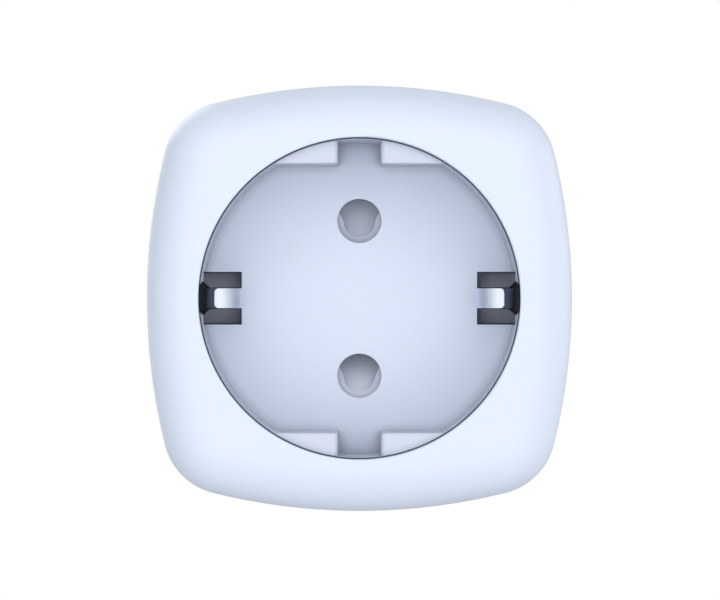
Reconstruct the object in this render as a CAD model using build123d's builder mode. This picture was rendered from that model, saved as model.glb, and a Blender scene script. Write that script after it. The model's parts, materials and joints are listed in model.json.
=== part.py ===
from build123d import *
import os
from math import atan2, cos, degrees, radians, sin, sqrt

os.makedirs("parts", exist_ok=True)

# Plug-through power meter with a two-pole socket with side earth clips on its front and a
# matching plug on its back. All lengths are in millimetres.
#
# Frame: the origin is the centre of the plug's end face, the face that meets the bottom of a wall
# socket. +Y runs along the plug pins into the wall, the socket faces -Y, and +Z is up.

# ---------------------------------------------------------------- driving dimensions
# Depths along Y, from the back to the front
PIN_LENGTH = 19.0           # plug pins, past the end face
SPIGOT_DEPTH = 17.5         # plug body that enters the wall socket
CASE_DEPTH = 42.0           # case, from its flange to its front face
WELL_DEPTH = 17.5           # front socket, from its rim to its floor
FLANGE_Y = -SPIGOT_DEPTH
FRONT_Y = FLANGE_Y - CASE_DEPTH
FLOOR_Y = FRONT_Y + WELL_DEPTH
FLOOR_THICK = 2.0
FLOOR_BACK_Y = FLOOR_Y + FLOOR_THICK
PARTING_Y = FLANGE_Y - 8.5  # line where the front cover meets the rear housing

# Case outline: eight tangent arcs
HALF_WIDTH = 26.0
SIDE_R = 73.8
CORNER_R = 8.1
WALL = 1.8
FRONT_WALL = 2.2
BACK_WALL = 2.0
FRONT_EDGE_R = 5.8
BACK_EDGE_R = 3.0
PARTING_CHAMFER = 0.3

# Standard plug and socket interface
PIN_Z = 9.5                 # each pin stands this far above or below the centre
PIN_R = 2.4
PIN_HOLE_R = 2.71
EARTH_HOLE_X = 10.0         # hole for a socket's own earth pin
EARTH_HOLE_R = 2.6
EARTH_HOLE_DEPTH = 15.5

# Socket well
RIM_R = 19.66
RIM_EDGE_R = 0.2
RIM_LAND = 1.2              # depth of the front cover's own part of the well wall
CUP_R = 20.9
CUP_FRONT_Y = FRONT_Y + RIM_LAND
MOUTH_R = 19.42
SHADOW_GAP_IN_R = 19.47     # V-shaped shadow gap between the well's mouth and the cover's rim
SHADOW_GAP_MID_R = 19.8
SHADOW_GAP_OUT_R = 20.1
SHADOW_GAP_DEPTH = 0.6
FLOOR_R = 19.04
GUIDE_FLAT_Z = 16.4
GUIDE_FOOT_Z = 16.16        # the guide's flat leans in towards the well's floor
GUIDE_SLOT_WIDTH = 5.2
GUIDE_SLOT_FOOT_WIDTH = 4.9
GUIDE_OUTER_X = 12.0
GUIDE_SLOT_EDGE_R = 0.7
GUIDE_FLAT_EDGE_R = 0.3

# Earth clips and the windows that they work in
WINDOW_X0 = 14.46
WINDOW_X1 = 19.12
WINDOW_HALF = 3.23
CLIP_HALF = 1.22
CLIP_THICK = 0.7
CLIP_ROOT_X = 18.4
CLIP_PIVOT_Y = -33.9
CLIP_EYE_R = 0.6
CLIP_END_X = 17.75
CLIP_APEX_X = 14.55
CLIP_FRONT_Y = -51.7

# Plug body
SPIGOT_R = 18.6
SPIGOT_WALL = 1.6
SPIGOT_FLAT_Z = 15.7
SPIGOT_RIB_WIDTH = 4.7
SPIGOT_END_WALL = 2.0
SPIGOT_EDGE_R = 1.0
STRIP_RECESS_X = 16.0
STRIP_RECESS_HALF = 3.2
STRIP_HALF = 2.2
STRIP_THICK = 0.7

# Lip of the rear housing that locates the front cover
LIP_GAP = 0.1
LIP_WALL = 0.9
LIP_HEIGHT = 2.0
LIP_ROOT = 2.0

# Plug pins and earth parts
FIT_GAP = 0.02              # pressed-in parts
TAIL_PAST_BOARD = 0.7       # solder tails, in front of the main board
PIN_TIP_R = 2.0
PIN_SHOULDER_R = 2.6
PIN_SHOULDER_END_Y = 0.3    # the shoulder reaches just past the end face
PIN_COLLAR_R = 3.3
PIN_COLLAR_HEIGHT = 1.6
PIN_TAIL_R = 1.0
EARTH_SLEEVE_R = 3.2
EARTH_SLEEVE_FLOOR = 0.8
EARTH_TAIL_R = 1.2
STRIP_X = STRIP_RECESS_X + 0.4
STRAP_X = 19.8
STRAP_BACK_Y = -23.2
STRAP_FOOT_Y = -33.1
STRAP_THICK = 0.8
STRAP_HALF_WIDTH = 2.0
STRAP_FOOT_LENGTH = 2.2

# Case screws
BOSS_XZ = 17.0
FRONT_BOSS_R = 2.8
REAR_BOSS_R = 3.0
SCREW_R = 1.25
SCREW_HEAD_R = 2.4
SCREW_HEAD_HEIGHT = 1.5
SCREW_LENGTH = 13.0
COUNTERBORE_R = 2.6
DRIVE_LENGTH = 2.9          # cross recess in a screw head
DRIVE_WIDTH = 0.6
DRIVE_DEPTH = 0.9

# Boards
BOARD_THICK = 1.6
BOARD_BACK_Y = -20.0
BOARD_FRONT_Y = BOARD_BACK_Y - BOARD_THICK
BOARD_INSET = 3.1
BOARD_REST = 21.5           # posts under the main board stand this far from the centre
BOARD_REST_R = 1.2
CONTROL_Z = 17.5
CONTROL_THICK = 1.0
CONTROL_HALF_WIDTH = 12.0
CONTROL_FRONT_Y = -39.0
CONTROL_BACK_Y = -22.3

# Button and status light, in the top wall
BUTTON_Y = -34.5
BUTTON_R = 4.35
BUTTON_GAP = 0.25
BUTTON_TOP_Z = HALF_WIDTH - 0.3
BUTTON_FLANGE_R = 5.4
BUTTON_FLANGE_Z = 23.0
BUTTON_DISH_R = 26.0
PLUNGER_R = 1.75
PLUNGER_TOP_Z = BUTTON_FLANGE_Z - 0.03
LIGHT_X = 8.4
LIGHT_R = 1.1

# Contact carrier and shutter
CARRIER_BACK_Y = -24.0
CARRIER_HALF_X = 13.6
CARRIER_HALF_Z = 15.0
WING_X = 19.6
WING_HALF_Z = 8.0
WING_FRONT_Y = -36.0
WING_BACK_Y = -33.2
PAD_Y = -38.5
PAD_GAP = 0.12
CARRIER_LEG_X = 11.5
CARRIER_LEG_Z = 12.5
SHUTTER_HALF_X = 5.8
SHUTTER_FRONT_Y = FLOOR_BACK_Y + 0.15
SHUTTER_BACK_Y = -35.9
SHUTTER_BOTTOM_Z = -12.6
SHUTTER_TOP_Z = 12.5
SHUTTER_ROOM = 0.2
SHUTTER_WINDOW_Z = -6.5
CHUTE_R = 1.95
CHUTE_MOUTH = 3.3           # half the chute's width at its top
SPRING_BOTTOM_Z = -22.3
SPRING_Y = (SHUTTER_FRONT_Y + SHUTTER_BACK_Y) / 2
SPRING_COIL_R = 1.15
SPRING_WIRE_R = 0.16
SPRING_TURNS = 8
CONTACT_FRONT_Y = -35.4
CONTACT_BACK_Y = -24.6
CONTACT_INNER_R = 2.45
CONTACT_OUTER_R = 3.05
CHAMBER_R = 3.5

# Relay, in the plug body
RELAY_X0 = -14.0
RELAY_X1 = 4.0
RELAY_HALF_Z = 5.0
RELAY_BASE_Y = BOARD_BACK_Y + 1.4
RELAY_END_Y = -4.9
RELAY_WALL = 0.5
RELAY_COIL_X = -8.4
CONTACT_X = 1.2
ARMATURE_PIVOT_X = -12.7
ARMATURE_Y = -7.4

SIDES = (("left", -1), ("right", 1))
LEVELS = (("upper", 1), ("lower", -1))


# ---------------------------------------------------------------- helpers
def across(y):
    """Sketch plane across the body at depth y: its x is X, its y is Z, and it extrudes forwards."""
    return Plane.XZ.offset(-y)


def slab(x0, x1, y0, y1, z0, z1, mode=Mode.ADD):
    """Box between two opposite corners."""
    with Locations(((x0 + x1) / 2, (y0 + y1) / 2, (z0 + z1) / 2)):
        Box(abs(x1 - x0), abs(y1 - y0), abs(z1 - z0), mode=mode)


def rod(x, z, radius, y0, y1, mode=Mode.ADD):
    """Round bar along Y between two depths."""
    with Locations(Location((x, (y0 + y1) / 2, z), (90, 0, 0))):
        Cylinder(radius, abs(y1 - y0), mode=mode)


def post(x, y, radius, z0, z1, mode=Mode.ADD):
    """Round bar along Z between two heights."""
    with Locations((x, y, (z0 + z1) / 2)):
        Cylinder(radius, abs(z1 - z0), mode=mode)


def case_outline(inset):
    """Outline of the case, moved inwards by inset: four bowed sides and four round corners."""
    side_centre = SIDE_R - HALF_WIDTH
    gap = SIDE_R - CORNER_R
    corner_centre = (sqrt(2 * gap**2 - side_centre**2) - side_centre) / 2
    half_sweep = degrees(atan2(corner_centre, corner_centre + side_centre))
    with BuildLine() as outline:
        for turn in (0, 90, 180, 270):
            c, s = cos(radians(turn)), sin(radians(turn))
            side = (-side_centre * c, -side_centre * s)
            corner = (corner_centre * (c - s), corner_centre * (s + c))
            CenterArc(side, SIDE_R - inset, turn - half_sweep, 2 * half_sweep)
            CenterArc(corner, CORNER_R - inset, turn + half_sweep, 90 - 2 * half_sweep)
    make_face(outline.edges())


def clip_slot(side):
    """Slot for one earth clip: as wide as the clip, then flared where it meets the well's wall."""
    half = CLIP_HALF + 0.1
    flare_x = 18.42
    flare = 2.1
    upper = [
        (CLIP_APEX_X, half),
        (flare_x, half),
        (flare_x + flare - half, flare),
        (flare_x + flare - half + 0.3, flare - 0.3),
        (CUP_R + 1, flare - 0.3),
    ]
    lower = [(x, -z) for x, z in reversed(upper)]
    with BuildLine() as outline:
        Polyline([(side * x, z) for x, z in upper + lower], close=True)
    make_face(outline.edges())


BOSSES = [(x * BOSS_XZ, z * BOSS_XZ) for x in (-1, 1) for z in (-1, 1)]


# ---------------------------------------------------------------- front cover
with BuildPart() as cover_cavity:
    with BuildSketch(across(PARTING_Y)):
        case_outline(WALL)
    extrude(amount=PARTING_Y - FRONT_Y - FRONT_WALL)
    fillet(cover_cavity.edges().group_by(Axis.Y)[0], radius=FRONT_EDGE_R - WALL)

with BuildPart() as front_cover:
    with BuildSketch(across(PARTING_Y)):
        case_outline(0)
    extrude(amount=PARTING_Y - FRONT_Y)
    chamfer(front_cover.edges().group_by(Axis.Y)[-1], length=PARTING_CHAMFER)
    fillet(front_cover.edges().group_by(Axis.Y)[0], radius=FRONT_EDGE_R)
    add(cover_cavity.part, mode=Mode.SUBTRACT)
    for x, z in BOSSES:
        rod(x, z, FRONT_BOSS_R, FRONT_Y + FRONT_WALL - 0.2, PARTING_Y)
    for x, z in BOSSES:
        rod(x, z, SCREW_R + 0.05, PARTING_Y - 9.0, PARTING_Y, mode=Mode.SUBTRACT)
    rod(0, 0, RIM_R, FRONT_Y, FRONT_Y + FRONT_WALL, mode=Mode.SUBTRACT)
    rod(0, 0, CUP_R + 0.05, CUP_FRONT_Y, FRONT_Y + FRONT_WALL + 1, mode=Mode.SUBTRACT)
    rim = front_cover.edges().filter_by(GeomType.CIRCLE).group_by(Axis.Y)[0]
    fillet(rim.filter_by(lambda e: abs(e.radius - RIM_R) < 0.01), radius=RIM_EDGE_R)
    post(0, BUTTON_Y, BUTTON_R + BUTTON_GAP, CONTROL_Z, HALF_WIDTH + 1, mode=Mode.SUBTRACT)
    post(LIGHT_X, BUTTON_Y, LIGHT_R + 0.05, CONTROL_Z, HALF_WIDTH + 1, mode=Mode.SUBTRACT)
front_cover.part.label = "front_cover"
export_step(front_cover.part, "parts/front_cover.step")

# ---------------------------------------------------------------- socket insert
# One guide wedge: its flat faces the well's centre, and its slot side is well rounded.
with BuildPart() as guide:
    with BuildSketch(Plane.XY.offset(GUIDE_FOOT_Z)) as guide_side:
        with BuildLine():
            Polyline(
                (GUIDE_SLOT_FOOT_WIDTH / 2, FLOOR_Y),
                (GUIDE_SLOT_WIDTH / 2, CUP_FRONT_Y),
                (GUIDE_OUTER_X, CUP_FRONT_Y),
                (GUIDE_OUTER_X, FLOOR_Y),
                close=True,
            )
        make_face()
        slot_corner = guide_side.vertices().sort_by(Axis.Y)[0:2].sort_by(Axis.X)[0]
        fillet(slot_corner, radius=GUIDE_SLOT_EDGE_R)
    extrude(amount=CUP_R - GUIDE_FOOT_Z)
    with BuildSketch(Plane.YZ):
        with BuildLine():
            Polyline(
                (FLOOR_Y, GUIDE_FOOT_Z),
                (CUP_FRONT_Y, GUIDE_FOOT_Z),
                (CUP_FRONT_Y, GUIDE_FLAT_Z),
                close=True,
            )
        make_face()
    extrude(amount=GUIDE_OUTER_X, mode=Mode.SUBTRACT)
    flat_edges = guide.edges().filter_by(lambda e: e.center().Z < GUIDE_FLAT_Z + 0.05)
    flat_edges = flat_edges.filter_by(lambda e: e.center().X < GUIDE_OUTER_X - 0.1)
    flat_edges = flat_edges.filter_by(lambda e: e.center().Y < FLOOR_Y - 0.1)
    fillet(flat_edges, radius=GUIDE_FLAT_EDGE_R)
    with BuildSketch(across(FLOOR_BACK_Y)):
        Circle(CUP_R - 0.4)
    extrude(amount=FLOOR_BACK_Y - FRONT_Y, mode=Mode.INTERSECT)
    mirror(about=Plane.YZ)

with BuildPart() as socket_insert:
    with BuildSketch(Plane.XY):
        with BuildLine():
            Polyline(
                (CUP_R, FLOOR_Y),
                (CUP_R, CUP_FRONT_Y),
                (MOUTH_R, CUP_FRONT_Y),
                (FLOOR_R, FLOOR_Y),
                close=True,
            )
        make_face()
    revolve(axis=Axis.Y)
    add(guide.part)
    mirror(guide.part, about=Plane.XY)
    with BuildSketch(Plane.XY):
        with BuildLine():
            Polyline(
                (SHADOW_GAP_IN_R, CUP_FRONT_Y),
                (SHADOW_GAP_MID_R, CUP_FRONT_Y + SHADOW_GAP_DEPTH),
                (SHADOW_GAP_OUT_R, CUP_FRONT_Y),
                close=True,
            )
        make_face()
    revolve(axis=Axis.Y, mode=Mode.SUBTRACT)
    for _, side in SIDES:
        slab(
            side * WINDOW_X0, side * WINDOW_X1, CUP_FRONT_Y - 1, FLOOR_Y,
            -WINDOW_HALF, WINDOW_HALF, mode=Mode.SUBTRACT,
        )
        with BuildSketch(across(FLOOR_Y)):
            clip_slot(side)
        extrude(amount=FLOOR_Y - CUP_FRONT_Y, mode=Mode.SUBTRACT)
socket_insert.part.label = "socket_insert"
export_step(socket_insert.part, "parts/socket_insert.step")

with BuildPart() as socket_floor:
    rod(0, 0, CUP_R, FLOOR_Y, FLOOR_BACK_Y)
    for _, level in LEVELS:
        rod(0, level * PIN_Z, PIN_HOLE_R, FLOOR_Y, FLOOR_BACK_Y, mode=Mode.SUBTRACT)
    for _, side in SIDES:
        slab(
            side * WINDOW_X0, side * WINDOW_X1, FLOOR_Y, FLOOR_BACK_Y,
            -WINDOW_HALF, WINDOW_HALF, mode=Mode.SUBTRACT,
        )
        with BuildSketch(across(FLOOR_BACK_Y)):
            clip_slot(side)
        extrude(amount=FLOOR_THICK, mode=Mode.SUBTRACT)
socket_floor.part.label = "socket_floor"
export_step(socket_floor.part, "parts/socket_floor.step")

# ---------------------------------------------------------------- rear housing with the plug body
SEAT_Y = FLANGE_Y - BACK_WALL


def spigot_outline(inset):
    """Plug body section: a circle with two flats, a rib on each flat and a recess on each side."""
    Circle(SPIGOT_R - inset)
    flat_z = SPIGOT_FLAT_Z - inset
    rib = SPIGOT_RIB_WIDTH / 2 - inset
    for x_side in (-1, 1):
        for z_side in (-1, 1):
            with Locations((x_side * (rib + 10), z_side * (flat_z + 5))):
                Rectangle(20, 10, mode=Mode.SUBTRACT)
    for x_side in (-1, 1):
        with Locations((x_side * (STRIP_RECESS_X - inset + 5), 0)):
            Rectangle(10, 2 * (STRIP_RECESS_HALF + inset), mode=Mode.SUBTRACT)


with BuildPart() as lip:
    with BuildSketch(across(SEAT_Y)):
        case_outline(WALL)
    extrude(amount=SEAT_Y - PARTING_Y)
    with BuildSketch(across(PARTING_Y + LIP_ROOT)):
        case_outline(WALL + LIP_GAP)
    extrude(amount=LIP_ROOT + LIP_HEIGHT)
    with BuildSketch(across(SEAT_Y)):
        case_outline(WALL + LIP_GAP + LIP_WALL)
    extrude(amount=SEAT_Y - PARTING_Y + LIP_HEIGHT, mode=Mode.SUBTRACT)

with BuildPart() as rear_housing:
    with BuildSketch(across(FLANGE_Y)):
        case_outline(0)
    extrude(amount=FLANGE_Y - PARTING_Y)
    chamfer(rear_housing.edges().group_by(Axis.Y)[0], length=PARTING_CHAMFER)
    fillet(rear_housing.edges().group_by(Axis.Y)[-1], radius=BACK_EDGE_R)
    with BuildSketch(across(SEAT_Y)):
        case_outline(WALL)
    extrude(amount=SEAT_Y - PARTING_Y, mode=Mode.SUBTRACT)
    add(lip.part)
    with BuildSketch(across(0)):
        spigot_outline(0)
    extrude(amount=-FLANGE_Y)
    fillet(rear_housing.edges().group_by(Axis.Y)[-1], radius=SPIGOT_EDGE_R)
    with BuildSketch(across(-SPIGOT_END_WALL)):
        spigot_outline(SPIGOT_WALL)
    extrude(amount=-SPIGOT_END_WALL - SEAT_Y, mode=Mode.SUBTRACT)
    for x, z in BOSSES:
        rod(x, z, REAR_BOSS_R, PARTING_Y, SEAT_Y)
    for x, z in BOSSES:
        rod(x, z, SCREW_R + 0.15, PARTING_Y, SEAT_Y, mode=Mode.SUBTRACT)
        rod(x, z, COUNTERBORE_R, SEAT_Y, FLANGE_Y, mode=Mode.SUBTRACT)
    for _, level in LEVELS:
        rod(0, level * PIN_Z, PIN_SHOULDER_R + FIT_GAP, -SPIGOT_END_WALL, 0, mode=Mode.SUBTRACT)
    rod(EARTH_HOLE_X, 0, EARTH_SLEEVE_R + FIT_GAP, -SPIGOT_END_WALL, 0, mode=Mode.SUBTRACT)
    for _, side in SIDES:
        slab(
            side * (STRIP_RECESS_X - 0.1), side * (STRIP_RECESS_X + 1.0), SEAT_Y, FLANGE_Y,
            -STRIP_HALF - 0.1, STRIP_HALF + 0.1, mode=Mode.SUBTRACT,
        )
        slab(
            side * (STRIP_RECESS_X - 1.5), side * (STRIP_RECESS_X + 0.1), -1.9, -0.9,
            -STRIP_HALF - 0.1, STRIP_HALF + 0.1, mode=Mode.SUBTRACT,
        )
    for x, z in ((BOARD_REST, 0), (-BOARD_REST, 0), (0, BOARD_REST), (0, -BOARD_REST)):
        rod(x, z, BOARD_REST_R, BOARD_BACK_Y, SEAT_Y)
rear_housing.part.label = "rear_housing"
export_step(rear_housing.part, "parts/rear_housing.step")

# ---------------------------------------------------------------- screws
with BuildPart() as case_screws:
    for x, z in BOSSES:
        rod(x, z, SCREW_HEAD_R, SEAT_Y, SEAT_Y + SCREW_HEAD_HEIGHT)
        rod(x, z, SCREW_R, SEAT_Y - SCREW_LENGTH, SEAT_Y)
    heads = case_screws.edges().filter_by(GeomType.CIRCLE).group_by(Axis.Y)[-1]
    fillet(heads, radius=0.5)
    for x, z in BOSSES:
        for along, over in ((DRIVE_LENGTH, DRIVE_WIDTH), (DRIVE_WIDTH, DRIVE_LENGTH)):
            with BuildSketch(across(SEAT_Y + SCREW_HEAD_HEIGHT)):
                with Locations((x, z)):
                    Rectangle(along, over)
            extrude(amount=DRIVE_DEPTH, taper=8, mode=Mode.SUBTRACT)
case_screws.part.label = "case_screws"
export_step(case_screws.part, "parts/case_screws.step")

# ---------------------------------------------------------------- plug pins and earth parts
collar_y = -SPIGOT_END_WALL - PIN_COLLAR_HEIGHT
tail_y = BOARD_FRONT_Y - TAIL_PAST_BOARD
for level_name, level in LEVELS:
    with BuildPart() as plug_pin:
        rod(0, level * PIN_Z, PIN_R, PIN_SHOULDER_END_Y, PIN_LENGTH)
        fillet(plug_pin.edges().group_by(Axis.Y)[-1], radius=PIN_TIP_R)
        rod(0, level * PIN_Z, PIN_SHOULDER_R, -SPIGOT_END_WALL, PIN_SHOULDER_END_Y)
        rod(0, level * PIN_Z, PIN_COLLAR_R, collar_y, -SPIGOT_END_WALL)
        rod(0, level * PIN_Z, PIN_TAIL_R, tail_y, collar_y)
    plug_pin.part.label = f"plug_pin_{level_name}"
    export_step(plug_pin.part, f"parts/plug_pin_{level_name}.step")

sleeve_y = -EARTH_HOLE_DEPTH - EARTH_SLEEVE_FLOOR
with BuildPart() as earth_pin_sleeve:
    rod(EARTH_HOLE_X, 0, EARTH_SLEEVE_R, sleeve_y, -0.2)
    rod(EARTH_HOLE_X, 0, EARTH_HOLE_R, -EARTH_HOLE_DEPTH, 0, mode=Mode.SUBTRACT)
    rod(EARTH_HOLE_X, 0, EARTH_TAIL_R, tail_y, sleeve_y)
earth_pin_sleeve.part.label = "earth_pin_sleeve"
export_step(earth_pin_sleeve.part, "parts/earth_pin_sleeve.step")

for side_name, side in SIDES:
    with BuildPart() as plug_earth_strip:
        with BuildSketch(Plane.XY):
            with BuildLine() as strip_line:
                FilletPolyline(
                    (side * (STRIP_X - 1.4), -1.4),
                    (side * (STRIP_X + 0.3), -1.4),
                    (side * (STRIP_X + 0.7), -5.0),
                    (side * (STRIP_X + 0.7), -12.5),
                    (side * STRIP_X, -15.5),
                    (side * STRIP_X, STRAP_BACK_Y),
                    radius=[0.6, 6.0, 3.0, 3.0],
                )
            trace(strip_line.edges(), line_width=STRIP_THICK)
        extrude(amount=STRIP_HALF, both=True)
    plug_earth_strip.part.label = f"plug_earth_strip_{side_name}"
    export_step(plug_earth_strip.part, f"parts/plug_earth_strip_{side_name}.step")

with BuildPart() as earth_strap:
    slab(-STRAP_X, STRAP_X, CARRIER_BACK_Y, STRAP_BACK_Y, -STRAP_HALF_WIDTH, STRAP_HALF_WIDTH)
    for _, side in SIDES:
        slab(
            side * (STRAP_X - STRAP_THICK), side * STRAP_X, STRAP_FOOT_Y, STRAP_BACK_Y,
            -STRAP_HALF_WIDTH, STRAP_HALF_WIDTH,
        )
        slab(
            side * (STRAP_X - STRAP_FOOT_LENGTH), side * STRAP_X,
            STRAP_FOOT_Y, STRAP_FOOT_Y + STRAP_THICK, -STRAP_HALF_WIDTH, STRAP_HALF_WIDTH,
        )
    corners = earth_strap.edges().filter_by(Axis.Z).group_by(Axis.Y)[-1]
    fillet(corners, radius=0.7)
earth_strap.part.label = "earth_strap"
export_step(earth_strap.part, "parts/earth_strap.step")

for side_name, side in SIDES:
    with BuildPart() as earth_clip:
        with BuildSketch(Plane.XY):
            with BuildLine() as clip_line:
                FilletPolyline(
                    (side * CLIP_END_X, CLIP_FRONT_Y),
                    (side * CLIP_APEX_X, CLIP_FRONT_Y),
                    (side * CLIP_APEX_X, CLIP_FRONT_Y + 6.6),
                    (side * CLIP_ROOT_X, CLIP_FRONT_Y + 11.4),
                    (side * CLIP_ROOT_X, CLIP_PIVOT_Y),
                    radius=[3.1, 2.0, 1.5],
                )
            trace(clip_line.edges(), line_width=CLIP_THICK)
        extrude(amount=CLIP_HALF, both=True)
        end_corners = earth_clip.edges().filter_by(Axis.Y)
        end_corners = end_corners.filter_by(lambda e: abs(abs(e.center().X) - CLIP_END_X) < 0.01)
        fillet(end_corners, radius=0.55)
        post(side * CLIP_ROOT_X, CLIP_PIVOT_Y, CLIP_EYE_R, -CLIP_HALF, CLIP_HALF)
    earth_clip.part.label = f"earth_clip_{side_name}"
    export_step(earth_clip.part, f"parts/earth_clip_{side_name}.step")

# ---------------------------------------------------------------- shutter and its spring
# Each pin lands on a sloping chute and pushes the shutter down until its openings line up.
with BuildPart() as chute:
    with BuildSketch(across(SHUTTER_BACK_Y)):
        Circle(CHUTE_R)
        with BuildLine():
            Polyline(
                (-CHUTE_R, 0),
                (-CHUTE_MOUTH, 3.0),
                (-CHUTE_MOUTH, 5.0),
                (CHUTE_MOUTH, 5.0),
                (CHUTE_MOUTH, 3.0),
                (CHUTE_R, 0),
                close=True,
            )
        make_face()
    extrude(amount=SHUTTER_BACK_Y - SHUTTER_FRONT_Y)
    with BuildSketch(Plane.YZ):
        with BuildLine():
            Polyline(
                (SHUTTER_FRONT_Y - 1, -CHUTE_R - 0.2),
                (SHUTTER_FRONT_Y + 0.4, -CHUTE_R - 0.2),
                (SHUTTER_FRONT_Y + 3.5, 3.0),
                (SHUTTER_FRONT_Y + 3.5, 5.5),
                (SHUTTER_FRONT_Y - 1, 5.5),
                close=True,
            )
        make_face()
    extrude(amount=CHUTE_MOUTH + 1, both=True, mode=Mode.INTERSECT)

with BuildPart() as shutter:
    slab(
        -SHUTTER_HALF_X, SHUTTER_HALF_X, SHUTTER_FRONT_Y, SHUTTER_BACK_Y,
        SHUTTER_BOTTOM_Z, SHUTTER_TOP_Z,
    )
    fillet(shutter.edges().filter_by(Axis.Y), radius=0.8)
    slab(
        -PIN_HOLE_R - 0.2, PIN_HOLE_R + 0.2, SHUTTER_FRONT_Y, SHUTTER_BACK_Y,
        SHUTTER_WINDOW_Z, SHUTTER_WINDOW_Z + 5.8, mode=Mode.SUBTRACT,
    )
    with Locations((0, 0, PIN_Z), (0, 0, -PIN_Z)):
        add(chute.part, mode=Mode.SUBTRACT)
shutter.part.label = "shutter"
export_step(shutter.part, "parts/shutter.step")

spring_height = SHUTTER_BOTTOM_Z - SPRING_BOTTOM_Z - 2 * SPRING_WIRE_R - 0.04
with BuildPart() as shutter_spring:
    with BuildLine() as coil:
        Helix(
            pitch=spring_height / SPRING_TURNS,
            height=spring_height,
            radius=SPRING_COIL_R,
            center=(0, SPRING_Y, SPRING_BOTTOM_Z + SPRING_WIRE_R + 0.02),
        )
    with BuildSketch(Plane(origin=coil.line @ 0, z_dir=coil.line % 0)):
        Circle(SPRING_WIRE_R)
    sweep(path=coil.line, is_frenet=True)
shutter_spring.part.label = "shutter_spring"
export_step(shutter_spring.part, "parts/shutter_spring.step")

# ---------------------------------------------------------------- contact carrier and contacts
with BuildPart() as contact_carrier:
    slab(
        -CARRIER_HALF_X, CARRIER_HALF_X, FLOOR_BACK_Y, CARRIER_BACK_Y,
        -CARRIER_HALF_Z, CARRIER_HALF_Z,
    )
    fillet(contact_carrier.edges().filter_by(Axis.Y), radius=1.5)
    slab(
        -SHUTTER_HALF_X - 2, SHUTTER_HALF_X + 2, FLOOR_BACK_Y, SHUTTER_BACK_Y + 1.4,
        SPRING_BOTTOM_Z - 0.7, -CARRIER_HALF_Z + 1,
    )
    for _, side in SIDES:
        slab(
            side * (CARRIER_HALF_X - 1), side * WING_X, WING_FRONT_Y, WING_BACK_Y,
            -WING_HALF_Z, WING_HALF_Z,
        )
        slab(
            side * (WINDOW_X0 + PAD_GAP), side * WING_X, PAD_Y, WING_FRONT_Y,
            -WINDOW_HALF + PAD_GAP, WINDOW_HALF - PAD_GAP,
        )
        with BuildSketch(across(WING_BACK_Y)):
            clip_slot(side)
        extrude(amount=WING_BACK_Y - PAD_Y, mode=Mode.SUBTRACT)
    slab(
        -SHUTTER_HALF_X - SHUTTER_ROOM, SHUTTER_HALF_X + SHUTTER_ROOM,
        FLOOR_BACK_Y, SHUTTER_BACK_Y + SHUTTER_ROOM,
        SPRING_BOTTOM_Z, SHUTTER_TOP_Z + SHUTTER_ROOM, mode=Mode.SUBTRACT,
    )
    for _, level in LEVELS:
        rod(0, level * PIN_Z, CHAMBER_R, FLOOR_BACK_Y, CARRIER_BACK_Y, mode=Mode.SUBTRACT)
    for x in (-CARRIER_LEG_X, CARRIER_LEG_X):
        for z in (-CARRIER_LEG_Z, CARRIER_LEG_Z):
            rod(x, z, 1.4, BOARD_FRONT_Y, CARRIER_BACK_Y)
contact_carrier.part.label = "contact_carrier"
export_step(contact_carrier.part, "parts/contact_carrier.step")

# Each socket contact is a slit tube that grips the pin, with a tail that solders to the board.
for level_name, level in LEVELS:
    with BuildPart() as socket_contact:
        rod(0, level * PIN_Z, CONTACT_OUTER_R, CONTACT_FRONT_Y, CONTACT_BACK_Y)
        rod(0, level * PIN_Z, CONTACT_INNER_R, CONTACT_FRONT_Y, CONTACT_BACK_Y, mode=Mode.SUBTRACT)
        mouth = socket_contact.edges().filter_by(GeomType.CIRCLE).group_by(Axis.Y)[0]
        chamfer(mouth.filter_by(lambda e: e.radius < CONTACT_INNER_R + 0.1), length=0.35)
        for x_side in (-1, 1):
            slab(
                x_side * CONTACT_INNER_R, x_side * CONTACT_OUTER_R,
                CONTACT_BACK_Y - 0.5, BOARD_FRONT_Y, level * PIN_Z - 1.0, level * PIN_Z + 1.0,
            )
        for along, over in ((4 * CONTACT_OUTER_R, 0.6), (0.6, 4 * CONTACT_OUTER_R)):
            slab(
                -along / 2, along / 2, CONTACT_FRONT_Y, CONTACT_FRONT_Y + 7.5,
                level * PIN_Z - over / 2, level * PIN_Z + over / 2, mode=Mode.SUBTRACT,
            )
    socket_contact.part.label = f"socket_contact_{level_name}"
    export_step(socket_contact.part, f"parts/socket_contact_{level_name}.step")

# ---------------------------------------------------------------- main board
with BuildPart() as main_board:
    with BuildSketch(across(BOARD_BACK_Y)):
        case_outline(BOARD_INSET)
        with Locations(*BOSSES):
            Circle(REAR_BOSS_R + 0.4, mode=Mode.SUBTRACT)
        with Locations((0, PIN_Z), (0, -PIN_Z)):
            Circle(PIN_TAIL_R + 0.1, mode=Mode.SUBTRACT)
        with Locations((EARTH_HOLE_X, 0)):
            Circle(1.3, mode=Mode.SUBTRACT)
        with Locations((-STRIP_X, 0), (STRIP_X, 0)):
            Rectangle(STRIP_THICK + 0.3, 2 * STRIP_HALF + 0.3, mode=Mode.SUBTRACT)
    extrude(amount=BOARD_THICK)
main_board.part.label = "main_board"
export_step(main_board.part, "parts/main_board.step")


def on_board(x, z, width, height, depth):
    """Box that stands on the front face of the main board."""
    slab(x - width / 2, x + width / 2, BOARD_FRONT_Y - depth, BOARD_FRONT_Y, z - height / 2, z + height / 2)


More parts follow.
